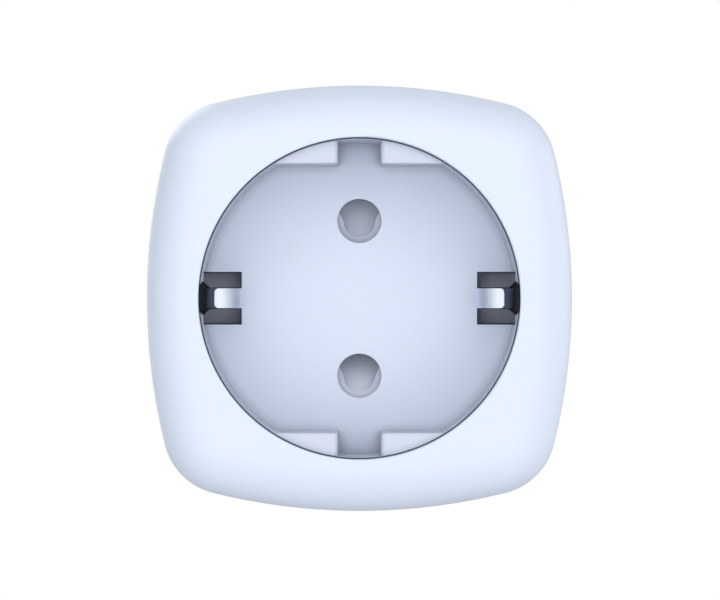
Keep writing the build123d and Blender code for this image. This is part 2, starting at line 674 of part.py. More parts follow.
# Manganin shunt in the neutral line: the current through it is what the meter reads.
with BuildPart() as current_shunt:
    with BuildSketch(Plane.XY.offset(-12.6)):
        with BuildLine() as shunt_line:
            FilletPolyline(
                (-9.6, BOARD_FRONT_Y),
                (-9.6, BOARD_FRONT_Y - 1.9),
                (-0.8, BOARD_FRONT_Y - 1.9),
                (-0.8, BOARD_FRONT_Y),
                radius=[0.8, 0.8],
            )
        trace(shunt_line.edges(), line_width=0.5)
    extrude(amount=-2.2)
current_shunt.part.label = "current_shunt"
export_step(current_shunt.part, "parts/current_shunt.step")

with BuildPart() as live_busbar:
    slab(-9.5, -1.2, BOARD_FRONT_Y - 0.6, BOARD_FRONT_Y, 12.6, 15.2)
    slab(-9.5, -6.8, BOARD_FRONT_Y - 0.6, BOARD_FRONT_Y, 5.6, 12.6)
live_busbar.part.label = "live_busbar"
export_step(live_busbar.part, "parts/live_busbar.step")


def gull_wing_chip(x, z, width, height, thick, legs, pitch):
    """Moulded chip with a row of bent legs along each long side."""
    foot = BOARD_FRONT_Y
    slab(x - width / 2, x + width / 2, foot - 0.1 - thick, foot - 0.1, z - height / 2, z + height / 2)
    for leg in range(legs):
        leg_z = z + (leg - (legs - 1) / 2) * pitch
        for side in (-1, 1):
            slab(
                x + side * (width / 2 - 0.1), x + side * (width / 2 + 0.55),
                foot - thick / 2 - 0.1, foot - thick / 2 + 0.1, leg_z - 0.2, leg_z + 0.2,
            )
            slab(
                x + side * (width / 2 + 0.35), x + side * (width / 2 + 0.55),
                foot - thick / 2, foot, leg_z - 0.2, leg_z + 0.2,
            )
            slab(
                x + side * (width / 2 + 0.35), x + side * (width / 2 + 1.0),
                foot - 0.2, foot, leg_z - 0.2, leg_z + 0.2,
            )


with BuildPart() as metering_chip:
    gull_wing_chip(7.0, -6.0, 3.9, 5.0, 1.35, 4, 1.27)
metering_chip.part.label = "metering_chip"
export_step(metering_chip.part, "parts/metering_chip.step")

with BuildPart() as bridge_rectifier:
    gull_wing_chip(11.0, -17.6, 3.8, 4.7, 2.4, 2, 2.54)
bridge_rectifier.part.label = "bridge_rectifier"
export_step(bridge_rectifier.part, "parts/bridge_rectifier.step")

for number, x in ((1, -4.1), (2, 4.1)):
    with BuildPart() as bulk_capacitor:
        rod(x, -19.1, 3.9, BOARD_FRONT_Y - 12.0, BOARD_FRONT_Y - 0.4)
        fillet(bulk_capacitor.edges().filter_by(GeomType.CIRCLE), radius=0.5)
        for side in (-1, 1):
            rod(x + side * 1.75, -19.1, 0.3, BOARD_FRONT_Y - 0.6, BOARD_FRONT_Y)
    bulk_capacitor.part.label = f"bulk_capacitor_{number}"
    export_step(bulk_capacitor.part, f"parts/bulk_capacitor_{number}.step")

with BuildPart() as mains_capacitor:
    on_board(17.2, 8.4, 5.0, 9.0, 10.5)
    fillet(mains_capacitor.edges().filter_by(Axis.Y), radius=0.6)
mains_capacitor.part.label = "mains_capacitor"
export_step(mains_capacitor.part, "parts/mains_capacitor.step")

with BuildPart() as surge_varistor:
    with BuildSketch(Plane.YZ.offset(14.9)):
        with Locations((BOARD_FRONT_Y - 5.6, -8.2)):
            Circle(4.6)
    extrude(amount=3.6)
    fillet(surge_varistor.edges().filter_by(GeomType.CIRCLE), radius=0.8)
    for side in (-1, 1):
        rod(16.7, -8.2 + side * 2.5, 0.4, BOARD_FRONT_Y - 3.0, BOARD_FRONT_Y)
surge_varistor.part.label = "surge_varistor"
export_step(surge_varistor.part, "parts/surge_varistor.step")

with BuildPart() as filter_inductor:
    rod(-17.8, 7.6, 4.0, BOARD_FRONT_Y - 10.0, BOARD_FRONT_Y - 0.2)
    with BuildSketch(across(BOARD_FRONT_Y - 1.4)):
        with Locations((-17.8, 7.6)):
            Circle(4.2)
            Circle(3.4, mode=Mode.SUBTRACT)
    extrude(amount=7.4, mode=Mode.SUBTRACT)
filter_inductor.part.label = "filter_inductor"
export_step(filter_inductor.part, "parts/filter_inductor.step")

with BuildPart() as inductor_winding:
    with BuildSketch(across(BOARD_FRONT_Y - 1.5)):
        with Locations((-17.8, 7.6)):
            Circle(3.9)
            Circle(3.45, mode=Mode.SUBTRACT)
    extrude(amount=7.2)
inductor_winding.part.label = "inductor_winding"
export_step(inductor_winding.part, "parts/inductor_winding.step")

with BuildPart() as mains_fuse:
    rod(-17.8, -7.6, 4.1, BOARD_FRONT_Y - 7.6, BOARD_FRONT_Y - 0.3)
    fillet(mains_fuse.edges().filter_by(GeomType.CIRCLE), radius=0.5)
    for side in (-1, 1):
        rod(-17.8, -7.6 + side * 2.5, 0.35, BOARD_FRONT_Y - 0.5, BOARD_FRONT_Y)
mains_fuse.part.label = "mains_fuse"
export_step(mains_fuse.part, "parts/mains_fuse.step")

# ---------------------------------------------------------------- control board and its parts
CONTROL_TOP = CONTROL_Z + CONTROL_THICK
with BuildPart() as control_board:
    slab(
        -CONTROL_HALF_WIDTH, CONTROL_HALF_WIDTH, CONTROL_FRONT_Y, CONTROL_BACK_Y,
        CONTROL_Z, CONTROL_TOP,
    )
    fillet(control_board.edges().filter_by(Axis.Z), radius=0.8)
control_board.part.label = "control_board"
export_step(control_board.part, "parts/control_board.step")

with BuildPart() as board_header:
    slab(-6.3, 6.3, BOARD_FRONT_Y - 2.4, BOARD_FRONT_Y, CONTROL_Z - 2.2, CONTROL_Z)
board_header.part.label = "board_header"
export_step(board_header.part, "parts/board_header.step")

with BuildPart() as radio_module:
    slab(-11.4, -4.4, -38.4, -25.4, CONTROL_TOP, CONTROL_TOP + 0.8)
    slab(-11.0, -4.8, -33.6, -25.8, CONTROL_TOP + 0.8, CONTROL_TOP + 2.6)
radio_module.part.label = "radio_module"
export_step(radio_module.part, "parts/radio_module.step")

with BuildPart() as tact_switch:
    slab(-3.0, 3.0, BUTTON_Y - 3.0, BUTTON_Y + 3.0, CONTROL_TOP, CONTROL_TOP + 3.4)
    fillet(tact_switch.edges().filter_by(Axis.Z), radius=0.4)
    post(0, BUTTON_Y, PLUNGER_R + 0.1, CONTROL_TOP + 1.2, CONTROL_TOP + 3.4, mode=Mode.SUBTRACT)
tact_switch.part.label = "tact_switch"
export_step(tact_switch.part, "parts/tact_switch.step")

with BuildPart() as tact_plunger:
    post(0, BUTTON_Y, PLUNGER_R, CONTROL_TOP + 1.6, PLUNGER_TOP_Z)
    fillet(tact_plunger.edges().group_by(Axis.Z)[-1], radius=0.25)
tact_plunger.part.label = "tact_plunger"
export_step(tact_plunger.part, "parts/tact_plunger.step")

with BuildPart() as button_cap:
    post(0, BUTTON_Y, BUTTON_R, BUTTON_FLANGE_Z, BUTTON_TOP_Z)
    fillet(button_cap.edges().group_by(Axis.Z)[-1], radius=0.4)
    post(0, BUTTON_Y, BUTTON_FLANGE_R, BUTTON_FLANGE_Z, BUTTON_FLANGE_Z + 0.7)
    with Locations((0, BUTTON_Y, BUTTON_TOP_Z + BUTTON_DISH_R - 0.35)):
        Sphere(BUTTON_DISH_R, mode=Mode.SUBTRACT)
button_cap.part.label = "button_cap"
export_step(button_cap.part, "parts/button_cap.step")

with BuildPart() as light_pipe:
    post(LIGHT_X, BUTTON_Y, LIGHT_R, CONTROL_TOP + 1.5, HALF_WIDTH - 0.55)
    post(LIGHT_X, BUTTON_Y, LIGHT_R + 0.7, CONTROL_TOP + 3.2, CONTROL_TOP + 4.2)
light_pipe.part.label = "light_pipe"
export_step(light_pipe.part, "parts/light_pipe.step")

with BuildPart() as status_led:
    slab(
        LIGHT_X - 0.8, LIGHT_X + 0.8, BUTTON_Y - 1.0, BUTTON_Y + 1.0,
        CONTROL_TOP, CONTROL_TOP + 0.5,
    )
    post(LIGHT_X, BUTTON_Y, 0.6, CONTROL_TOP + 0.5, CONTROL_TOP + 0.9)
status_led.part.label = "status_led"
export_step(status_led.part, "parts/status_led.step")

# ---------------------------------------------------------------- relay
with BuildPart() as relay_base:
    slab(RELAY_X0, RELAY_X1, RELAY_BASE_Y, BOARD_BACK_Y, -RELAY_HALF_Z, RELAY_HALF_Z)
relay_base.part.label = "relay_base"
export_step(relay_base.part, "parts/relay_base.step")

with BuildPart() as relay_case:
    slab(RELAY_X0, RELAY_X1, RELAY_BASE_Y, RELAY_END_Y, -RELAY_HALF_Z, RELAY_HALF_Z)
    fillet(relay_case.edges().filter_by(Axis.Y), radius=0.6)
    slab(
        RELAY_X0 + RELAY_WALL, RELAY_X1 - RELAY_WALL, RELAY_BASE_Y, RELAY_END_Y - RELAY_WALL,
        -RELAY_HALF_Z + RELAY_WALL, RELAY_HALF_Z - RELAY_WALL, mode=Mode.SUBTRACT,
    )
relay_case.part.label = "relay_case"
export_step(relay_case.part, "parts/relay_case.step")

YOKE_FOOT_Y = RELAY_BASE_Y + 0.9
with BuildPart() as relay_yoke:
    slab(ARMATURE_PIVOT_X - 0.5, RELAY_COIL_X + 3.0, RELAY_BASE_Y, YOKE_FOOT_Y, -3.4, 3.4)
    slab(
        ARMATURE_PIVOT_X - 0.5, ARMATURE_PIVOT_X + 0.4, RELAY_BASE_Y, ARMATURE_Y - 0.1,
        -3.4, 3.4,
    )
    rod(RELAY_COIL_X, 0, 1.4, YOKE_FOOT_Y, ARMATURE_Y - 1.0)
    rod(RELAY_COIL_X, 0, 2.0, ARMATURE_Y - 1.0, ARMATURE_Y - 0.5)
relay_yoke.part.label = "relay_yoke"
export_step(relay_yoke.part, "parts/relay_yoke.step")

with BuildPart() as relay_bobbin:
    rod(RELAY_COIL_X, 0, 1.9, YOKE_FOOT_Y + 0.05, ARMATURE_Y - 1.1)
    rod(RELAY_COIL_X, 0, 3.7, YOKE_FOOT_Y + 0.05, YOKE_FOOT_Y + 0.65)
    rod(RELAY_COIL_X, 0, 3.7, ARMATURE_Y - 1.7, ARMATURE_Y - 1.1)
    rod(RELAY_COIL_X, 0, 1.45, YOKE_FOOT_Y, ARMATURE_Y, mode=Mode.SUBTRACT)
relay_bobbin.part.label = "relay_bobbin"
export_step(relay_bobbin.part, "parts/relay_bobbin.step")

with BuildPart() as relay_coil:
    rod(RELAY_COIL_X, 0, 3.4, YOKE_FOOT_Y + 0.7, ARMATURE_Y - 1.75)
    rod(RELAY_COIL_X, 0, 1.95, YOKE_FOOT_Y, ARMATURE_Y, mode=Mode.SUBTRACT)
relay_coil.part.label = "relay_coil"
export_step(relay_coil.part, "parts/relay_coil.step")

with BuildPart() as relay_armature:
    slab(ARMATURE_PIVOT_X, RELAY_COIL_X + 2.6, ARMATURE_Y, ARMATURE_Y + 0.9, -3.2, 3.2)
    post(ARMATURE_PIVOT_X, ARMATURE_Y + 0.45, 0.45, -3.2, 3.2)
relay_armature.part.label = "relay_armature"
export_step(relay_armature.part, "parts/relay_armature.step")

with BuildPart() as moving_contact:
    slab(
        RELAY_COIL_X, CONTACT_X + 1.4, ARMATURE_Y + 0.9, ARMATURE_Y + 1.2,
        -1.8, 1.8,
    )
    rod(CONTACT_X, 0, 1.2, ARMATURE_Y + 0.3, ARMATURE_Y + 0.9)
moving_contact.part.label = "moving_contact"
export_step(moving_contact.part, "parts/moving_contact.step")

with BuildPart() as fixed_contact:
    rod(CONTACT_X, 0, 1.2, ARMATURE_Y - 1.3, ARMATURE_Y - 0.8)
    slab(CONTACT_X - 1.2, CONTACT_X + 1.8, ARMATURE_Y - 1.9, ARMATURE_Y - 1.3, -1.6, 1.6)
    slab(CONTACT_X + 1.2, CONTACT_X + 1.8, RELAY_BASE_Y, ARMATURE_Y - 1.3, -1.6, 1.6)
fixed_contact.part.label = "fixed_contact"
export_step(fixed_contact.part, "parts/fixed_contact.step")
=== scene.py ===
import json
import math

import bmesh
import bpy
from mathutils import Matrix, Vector


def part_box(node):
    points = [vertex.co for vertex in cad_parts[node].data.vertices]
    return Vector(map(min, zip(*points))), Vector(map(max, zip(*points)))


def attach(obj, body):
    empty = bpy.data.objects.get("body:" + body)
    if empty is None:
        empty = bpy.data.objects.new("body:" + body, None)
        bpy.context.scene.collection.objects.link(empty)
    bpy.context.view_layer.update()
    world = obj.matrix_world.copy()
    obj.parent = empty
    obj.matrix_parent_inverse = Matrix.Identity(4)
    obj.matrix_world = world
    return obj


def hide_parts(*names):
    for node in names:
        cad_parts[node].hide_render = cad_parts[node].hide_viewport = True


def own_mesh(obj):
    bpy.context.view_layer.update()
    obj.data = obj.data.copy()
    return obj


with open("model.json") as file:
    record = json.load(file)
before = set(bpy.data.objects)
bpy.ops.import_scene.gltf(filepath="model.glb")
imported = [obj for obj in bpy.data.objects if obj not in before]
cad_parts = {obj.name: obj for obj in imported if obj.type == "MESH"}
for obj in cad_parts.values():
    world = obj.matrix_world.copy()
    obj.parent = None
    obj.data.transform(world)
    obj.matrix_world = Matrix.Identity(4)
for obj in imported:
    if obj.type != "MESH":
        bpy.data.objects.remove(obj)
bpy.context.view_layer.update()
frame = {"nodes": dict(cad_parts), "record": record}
nodes = frame["nodes"]

MM = 0.001


# ---------------------------------------------------------------- node helpers
BEVEL_SAMPLES = 4
CREVICE_SAMPLES = 8
# Sockets of a Mix node that mixes colours. Its data types share their names, so they go by place.
MIX_FIRST = 6
MIX_SECOND = 7
MIX_RESULT = 2
# Nearly all values of a noise texture are between these two.
NOISE_LOW = 0.3
NOISE_HIGH = 0.7


def shaded(colour, factor):
    return tuple(c * factor for c in colour)


class Maker:
    """Builds one material's node tree, with object coordinates in millimetres."""

    def __init__(self, name):
        self.material = bpy.data.materials.new(name)
        self.material.use_nodes = True
        self.tree = self.material.node_tree
        self.tree.nodes.clear()
        self.output = self.tree.nodes.new("ShaderNodeOutputMaterial")
        self.shader = self.tree.nodes.new("ShaderNodeBsdfPrincipled")
        self.link(self.shader.outputs["BSDF"], self.output.inputs["Surface"])
        coords = self.tree.nodes.new("ShaderNodeTexCoord")
        scale = self.tree.nodes.new("ShaderNodeVectorMath")
        scale.operation = "SCALE"
        scale.inputs["Scale"].default_value = 1 / MM
        self.link(coords.outputs["Object"], scale.inputs[0])
        self.place = scale.outputs[0]

    def link(self, source, target):
        self.tree.links.new(source, target)

    def split(self, vector):
        """The three parts of a vector."""
        node = self.tree.nodes.new("ShaderNodeSeparateXYZ")
        self.link(vector, node.inputs[0])
        return node.outputs

    def stretched(self, factors):
        """The place, scaled by a factor along each axis."""
        node = self.tree.nodes.new("ShaderNodeVectorMath")
        node.operation = "MULTIPLY"
        node.inputs[1].default_value = factors
        self.link(self.place, node.inputs[0])
        return node.outputs[0]

    def noise(self, per_mm, detail=3.0, rough=0.55, place=None, distortion=0.0):
        node = self.tree.nodes.new("ShaderNodeTexNoise")
        node.inputs["Scale"].default_value = per_mm
        node.inputs["Detail"].default_value = detail
        node.inputs["Roughness"].default_value = rough
        node.inputs["Distortion"].default_value = distortion
        self.link(place or self.place, node.inputs["Vector"])
        return node.outputs["Fac"]

    def cells(self, per_mm):
        """Distance to the nearest of many scattered points."""
        node = self.tree.nodes.new("ShaderNodeTexVoronoi")
        node.inputs["Scale"].default_value = per_mm
        self.link(self.place, node.inputs["Vector"])
        return node.outputs["Distance"]

    def ramp(self, value, low, high, out_low=0.0, out_high=1.0):
        node = self.tree.nodes.new("ShaderNodeMapRange")
        node.inputs["From Min"].default_value = low
        node.inputs["From Max"].default_value = high
        node.inputs["To Min"].default_value = out_low
        node.inputs["To Max"].default_value = out_high
        self.link(value, node.inputs["Value"])
        return node.outputs["Result"]

    def drift(self, noise, out_low=0.0, out_high=1.0):
        """A noise spread over the whole of a range."""
        return self.ramp(noise, NOISE_LOW, NOISE_HIGH, out_low, out_high)

    def maths(self, operation, first, second=0.0):
        node = self.tree.nodes.new("ShaderNodeMath")
        node.operation = operation
        for socket, value in zip(node.inputs, (first, second)):
            if isinstance(value, (int, float)):
                socket.default_value = value
            else:
                self.link(value, socket)
        return node.outputs[0]

    def add(self, first, second):
        return self.maths("ADD", first, second)

    def times(self, first, second):
        return self.maths("MULTIPLY", first, second)

    def mix(self, factor, first, second):
        """First where the factor is 0, and second where it is 1."""
        node = self.tree.nodes.new("ShaderNodeMix")
        node.data_type = "RGBA"
        self.link(factor, node.inputs["Factor"])
        for socket, value in ((node.inputs[MIX_FIRST], first), (node.inputs[MIX_SECOND], second)):
            if isinstance(value, tuple):
                socket.default_value = (*value, 1.0)
            else:
                self.link(value, socket)
        return node.outputs[MIX_RESULT]

    def rounded(self, radius):
        """A normal that softens every edge over a small radius."""
        bevel = self.tree.nodes.new("ShaderNodeBevel")
        bevel.samples = BEVEL_SAMPLES
        bevel.inputs["Radius"].default_value = radius * MM
        return bevel.outputs["Normal"]

    def edge_wear(self, radius, low, high):
        """1 at edges and 0 on flats, from how far a rounded normal leans off the true one."""
        geometry = self.tree.nodes.new("ShaderNodeNewGeometry")
        dot = self.tree.nodes.new("ShaderNodeVectorMath")
        dot.operation = "DOT_PRODUCT"
        self.link(self.rounded(radius), dot.inputs[0])
        self.link(geometry.outputs["Normal"], dot.inputs[1])
        return self.ramp(dot.outputs["Value"], high, low)

    def crevices(self, reach):
        """0 deep in narrow corners and gaps, and 1 on open surfaces."""
        node = self.tree.nodes.new("ShaderNodeAmbientOcclusion")
        node.samples = CREVICE_SAMPLES
        node.inputs["Distance"].default_value = reach * MM
        return node.outputs["AO"]

    def bump(self, height, distance, strength, under=None):
        node = self.tree.nodes.new("ShaderNodeBump")
        node.inputs["Strength"].default_value = strength
        node.inputs["Distance"].default_value = distance * MM
        self.link(height, node.inputs["Height"])
        if under is not None:
            self.link(under, node.inputs["Normal"])
        return node.outputs["Normal"]

    def finish(self, colour, roughness, normal, metallic=0.0, **constants):
        self.shader.inputs["Metallic"].default_value = metallic
        self.link(colour, self.shader.inputs["Base Color"])
        self.link(roughness, self.shader.inputs["Roughness"])
        self.link(normal, self.shader.inputs["Normal"])
        for name, value in constants.items():
            self.shader.inputs[name.replace("_", " ")].default_value = value
        return self.material


# ---------------------------------------------------------------- kinds of material
PLASTIC_IOR = 1.47
RESIN_IOR = 1.55
ROUGHNESS_DRIFT = 0.04
EDGE_POLISH = 0.08
# Painted shade in narrow corners: how far the occlusion reaches in mm, where it counts as shut
# and as open, and how dark full shade is.
CREVICE_REACH = 1.6
CREVICE_SHUT = 0.25
CREVICE_OPEN = 0.9
CREVICE_SHADE = 0.25
# Painted shade on the faces that run along Y: how dark full shade is.
WALL_SHADE = 0.3
# How far a face's normal leans along Y where it starts to count as a wall, and where it is one.
WALL_FROM = 0.75
WALL_FULL = 0.25


def moulded_plastic(name, colour, roughness, grain, tint, edge, painted_crevice_shade=0.0, painted_wall_shade=0.0):
    """Moulded plastic: spark-eroded grain, slow flow clouds, and edges rubbed slightly smoother.

    Grain is the height of the bump and edge the radius of the edges, both in mm. Tint is how far
    clouds and speckle darken the colour. The last two arguments paint shade into the colour: the
    first how dark narrow corners are painted, the second how much darker the faces are painted
    that run along the mould's draw, Y.
    """
    make = Maker(name)
    fine = make.noise(per_mm=5.5, detail=2.0, rough=0.6)
    pits = make.cells(per_mm=4.2)
    clouds = make.noise(per_mm=0.06, detail=4.0, rough=0.5, distortion=0.4)
    dark = shaded(colour, 1 - tint)
    base = make.mix(make.drift(clouds), dark, colour)
    speckle = make.ramp(fine, 0.35, 0.65)
    base = make.mix(make.times(speckle, 0.5), base, dark)
    height = make.add(make.times(fine, 0.6), make.times(pits, 0.4))
    worn = make.edge_wear(edge * 2, 0.8, 0.995)
    rough = make.add(
        make.drift(clouds, roughness - ROUGHNESS_DRIFT, roughness + ROUGHNESS_DRIFT),
        make.times(worn, -EDGE_POLISH),
    )
    normal = make.bump(height, grain, 0.8, make.rounded(edge))
    # Painted shade: narrow corners and gaps darkened by ambient occlusion.
    if painted_crevice_shade:
        painted_crevice_mask = make.ramp(make.crevices(CREVICE_REACH), CREVICE_SHUT, CREVICE_OPEN, painted_crevice_shade, 0.0)
        base = make.mix(painted_crevice_mask, base, shaded(colour, CREVICE_SHADE))
    # Painted shade: the faces that run along Y darkened, more the further their normal leans off
    # Y.
    if painted_wall_shade:
        geometry = make.tree.nodes.new("ShaderNodeNewGeometry")
        lean = make.maths("ABSOLUTE", make.split(geometry.outputs["Normal"])["Y"])
        painted_wall_mask = make.ramp(lean, WALL_FROM, WALL_FULL, 0.0, painted_wall_shade)
        base = make.mix(painted_wall_mask, base, shaded(colour, WALL_SHADE))
    return make.finish(base, rough, normal, IOR=PLASTIC_IOR)


def drawn_metal(name, colour, roughness, stretch, marks, tarnish, edge):
    """Rolled, drawn or turned metal: fine directional marks, cloudy plating, brighter edges.

    Stretch squeezes the marks along each axis, so they run along the axis where it is smallest.
    Marks is their height and edge the radius of the edges, both in mm.
    """
    make = Maker(name)
    half_stretch = tuple(s ** 0.5 for s in stretch)
    lines = make.noise(per_mm=9.0, detail=3.0, rough=0.65, place=make.stretched(stretch))
    scratches = make.noise(
        per_mm=2.2, detail=4.0, rough=0.7, place=make.stretched(half_stretch), distortion=0.3,
    )
    clouds = make.noise(per_mm=0.35, detail=5.0, rough=0.6)
    worn = make.edge_wear(edge * 2, 0.75, 0.99)
    dull = shaded(colour, 1 - tarnish)
    bright = tuple(min(1.0, c * 1.08) for c in colour)
    base = make.mix(make.drift(clouds), dull, colour)
    base = make.mix(make.ramp(scratches, 0.5, 0.72), base, dull)
    base = make.mix(make.times(worn, 0.6), base, bright)
    rough = make.add(
        make.drift(lines, roughness - 0.07, roughness + 0.07),
        make.drift(clouds, -0.03, 0.06),
    )
    height = make.add(lines, make.times(scratches, 0.5))
    normal = make.bump(height, marks, 0.7, make.rounded(edge))
    return make.finish(base, rough, normal, metallic=1.0)


def winding(name, colour, pitch, axis):
    """Enamelled wire wound in close turns along one axis, X, Y or Z."""
    make = Maker(name)
    along = make.split(make.place)[axis]
    turn = make.times(make.maths("DIVIDE", along, pitch), 2 * math.pi)
    wire = make.maths("ABSOLUTE", make.maths("SINE", make.times(turn, 0.5)))
    patches = make.noise(per_mm=0.9, detail=3.0)
    # Painted shade: darker between the turns, where the wires meet.
    painted_groove_shade = make.ramp(wire, 0.0, 0.45)
    base = make.mix(painted_groove_shade, shaded(colour, 0.35), colour)
    base = make.mix(make.ramp(patches, 0.4, 0.75), base, shaded(colour, 0.8))
    rough = make.drift(patches, 0.28, 0.42)
    normal = make.bump(wire, pitch * 0.35, 1.0)
    return make.finish(base, rough, normal, metallic=0.75, Coat_Weight=0.5, Coat_Roughness=0.15)


WEAVE_PER_MM = 9.0
TINNED_VIA = (0.62, 0.62, 0.60)


def solder_mask(name, colour):
    """Circuit board: woven glass under green mask, with raised copper areas and tinned vias."""
    make = Maker(name)
    across = make.split(make.place)
    weave_x = make.maths("SINE", make.times(across["X"], WEAVE_PER_MM))
    weave_z = make.maths("SINE", make.times(across["Z"], WEAVE_PER_MM))
    weave = make.times(weave_x, weave_z)
    areas = make.tree.nodes.new("ShaderNodeTexVoronoi")
    areas.feature = "DISTANCE_TO_EDGE"
    areas.inputs["Scale"].default_value = 0.28
    areas.inputs["Randomness"].default_value = 0.75
    turned = make.tree.nodes.new("ShaderNodeVectorRotate")
    turned.inputs["Angle"].default_value = math.radians(45)
    make.link(make.place, turned.inputs["Vector"])
    make.link(turned.outputs[0], areas.inputs["Vector"])
    copper = make.ramp(areas.outputs["Distance"], 0.035, 0.055)
    via = make.ramp(make.cells(per_mm=0.55), 0.16, 0.12)
    clouds = make.noise(per_mm=0.2, detail=4.0)
    over_copper = tuple(min(1.0, c * 1.45 + 0.01) for c in colour)
    base = make.mix(copper, colour, over_copper)
    base = make.mix(make.ramp(weave, -0.4, 1.0, 0.0, 0.25), base, shaded(colour, 0.8))
    base = make.mix(via, base, TINNED_VIA)
    rough = make.add(make.drift(clouds, 0.28, 0.38), make.times(via, 0.05))
    height = make.add(copper, make.times(weave, 0.12))
    normal = make.bump(height, 0.035, 1.0, make.rounded(0.05))
    return make.finish(base, rough, normal, Coat_Weight=0.4, Coat_Roughness=0.2)


def clear_resin(name, colour, roughness, through):
    """Clear or frosted moulded resin, with faint flow lines and dust."""
    make = Maker(name)
    flow = make.noise(per_mm=0.8, detail=4.0, rough=0.5, distortion=1.2)
    dust = make.noise(per_mm=7.0, detail=2.0)
    base = make.mix(make.drift(flow), shaded(colour, 0.94), colour)
    rough = make.add(
        make.drift(flow, roughness, roughness + 0.08),
        make.ramp(dust, 0.5, 0.8, 0.0, 0.1),
    )
    normal = make.bump(dust, 0.006, 0.5, make.rounded(0.08))
    return make.finish(base, rough, normal, Transmission_Weight=through, IOR=RESIN_IOR)


# ---------------------------------------------------------------- materials by record slot
# colour, roughness, grain, tint, edge, painted crevice shade, painted wall shade
PLASTICS = {
    "case_plastic": ((0.745, 0.825, 0.985), 0.40, 0.012, 0.012, 0.10, 0.55),
    "socket_plastic": ((0.77, 0.83, 0.965), 0.42, 0.010, 0.012, 0.10, 0.45, 0.3),
    # A greyer copy of socket_plastic for the well's wall: painted shade.
    "socket_wall_painted_shade": ((0.64, 0.70, 0.825), 0.42, 0.010, 0.012, 0.10, 0.5, 0.24),
    "button_plastic": ((0.72, 0.80, 0.955), 0.34, 0.008, 0.015, 0.08, 0.4),
    "shutter_plastic": ((0.75, 0.80, 0.91), 0.45, 0.010, 0.03, 0.06, 0.25),
    # Dark grey: painted shade for the pockets behind the socket's windows, where the carrier
    # shows.
    "carrier_plastic": ((0.37, 0.39, 0.46), 0.50, 0.018, 0.10, 0.08, 0.5),
    "black_plastic": ((0.018, 0.018, 0.020), 0.48, 0.014, 0.15, 0.05),
    "bobbin_plastic": ((0.72, 0.68, 0.58), 0.42, 0.010, 0.05, 0.05),
    "relay_plastic": ((0.020, 0.024, 0.032), 0.34, 0.008, 0.12, 0.12),
    "fuse_body": ((0.035, 0.035, 0.038), 0.38, 0.010, 0.12, 0.10),
    "capacitor_yellow": ((0.72, 0.46, 0.05), 0.36, 0.008, 0.06, 0.15),
    "capacitor_sleeve": ((0.022, 0.030, 0.060), 0.26, 0.006, 0.15, 0.12),
    "varistor_blue": ((0.025, 0.10, 0.42), 0.22, 0.012, 0.08, 0.12),
    "ferrite": ((0.050, 0.050, 0.054), 0.62, 0.030, 0.20, 0.08),
}
# colour, roughness, stretch, marks, tarnish, edge
METALS = {
    # A dark copy of the plate metal, for the strap seen through the socket's slots: painted
    # shade.
    "strap_plate_painted_shade": ((0.21, 0.21, 0.215), 0.50, (14.0, 1.0, 14.0), 0.006, 0.12, 0.08),
    "nickel_plate": ((0.80, 0.85, 0.95), 0.46, (14.0, 1.0, 14.0), 0.004, 0.06, 0.10),
    "pin_nickel": ((0.80, 0.80, 0.79), 0.20, (1.0, 16.0, 1.0), 0.004, 0.08, 0.06),
    "contact_bronze": ((0.83, 0.54, 0.27), 0.28, (12.0, 1.0, 12.0), 0.004, 0.18, 0.06),
    "screw_steel": ((0.66, 0.66, 0.66), 0.30, (3.0, 14.0, 3.0), 0.005, 0.15, 0.05),
    "spring_steel": ((0.62, 0.62, 0.63), 0.26, (3.0, 3.0, 3.0), 0.003, 0.12, 0.03),
    "manganin": ((0.62, 0.46, 0.36), 0.32, (1.0, 10.0, 10.0), 0.004, 0.15, 0.05),
    "tinned_copper": ((0.78, 0.78, 0.78), 0.36, (8.0, 1.0, 8.0), 0.005, 0.12, 0.05),
    "shield_metal": ((0.72, 0.73, 0.74), 0.30, (1.0, 8.0, 8.0), 0.004, 0.10, 0.08),
    "soft_iron": ((0.56, 0.56, 0.57), 0.38, (1.0, 8.0, 1.0), 0.006, 0.15, 0.05),
}
MATERIALS = {name: moulded_plastic(name, *values) for name, values in PLASTICS.items()}
MATERIALS.update((name, drawn_metal(name, *values)) for name, values in METALS.items())
MATERIALS["copper_wire"] = winding("copper_wire", (0.80, 0.32, 0.12), 0.32, "Y")
MATERIALS["board_green"] = solder_mask("board_green", (0.012, 0.115, 0.055))
MATERIALS["light_pipe"] = clear_resin("light_pipe", (0.90, 0.94, 0.98), 0.30, 0.45)
MATERIALS["led_resin"] = clear_resin("led_resin", (0.95, 0.95, 0.85), 0.12, 0.80)

# The strap behind the socket takes a dark copy of the plate metal, unlike the clips that it
# carries:
# painted shade behind the slots. The well's wall takes a greyer copy of the socket's plastic than
# its floor: painted shade, to give the shade that the photograph shows there.
FINISH_BY_NODE = {"earth_strap": "strap_plate_painted_shade", "socket_insert": "socket_wall_painted_shade"}
for subpart in frame["record"]["subparts"]:
    shown = nodes[subpart["node"]]
    material = MATERIALS[FINISH_BY_NODE.get(subpart["node"], subpart["material_slot"])]
    if not shown.material_slots:
        shown.data.materials.append(material)
    for material_slot in shown.material_slots:
        material_slot.material = material

# ---------------------------------------------------------------- shutter spring
# Round wire wound in mesh, in the place of the CAD spring.
SPRING_WIRE_R = 0.16 * MM
SPRING_TURNS = 8
SPRING_STEPS = 36
SPRING_SIDES = 12
SLOPE_STEP = 0.01
spring_low, spring_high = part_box("shutter_spring")
spring_y = (spring_low[1] + spring_high[1]) / 2
coil_r = (spring_high[1] - spring_low[1]) / 2 - SPRING_WIRE_R
spring_base = spring_low[2] + SPRING_WIRE_R
spring_rise = spring_high[2] - spring_low[2] - 2 * SPRING_WIRE_R


def spring_point(turn):
    """Middle of the wire after that many turns."""
    angle = 2 * math.pi * turn
    return Vector((
        coil_r * math.cos(angle),
        spring_y + coil_r * math.sin(angle),
        spring_base + spring_rise * turn / SPRING_TURNS,
    ))


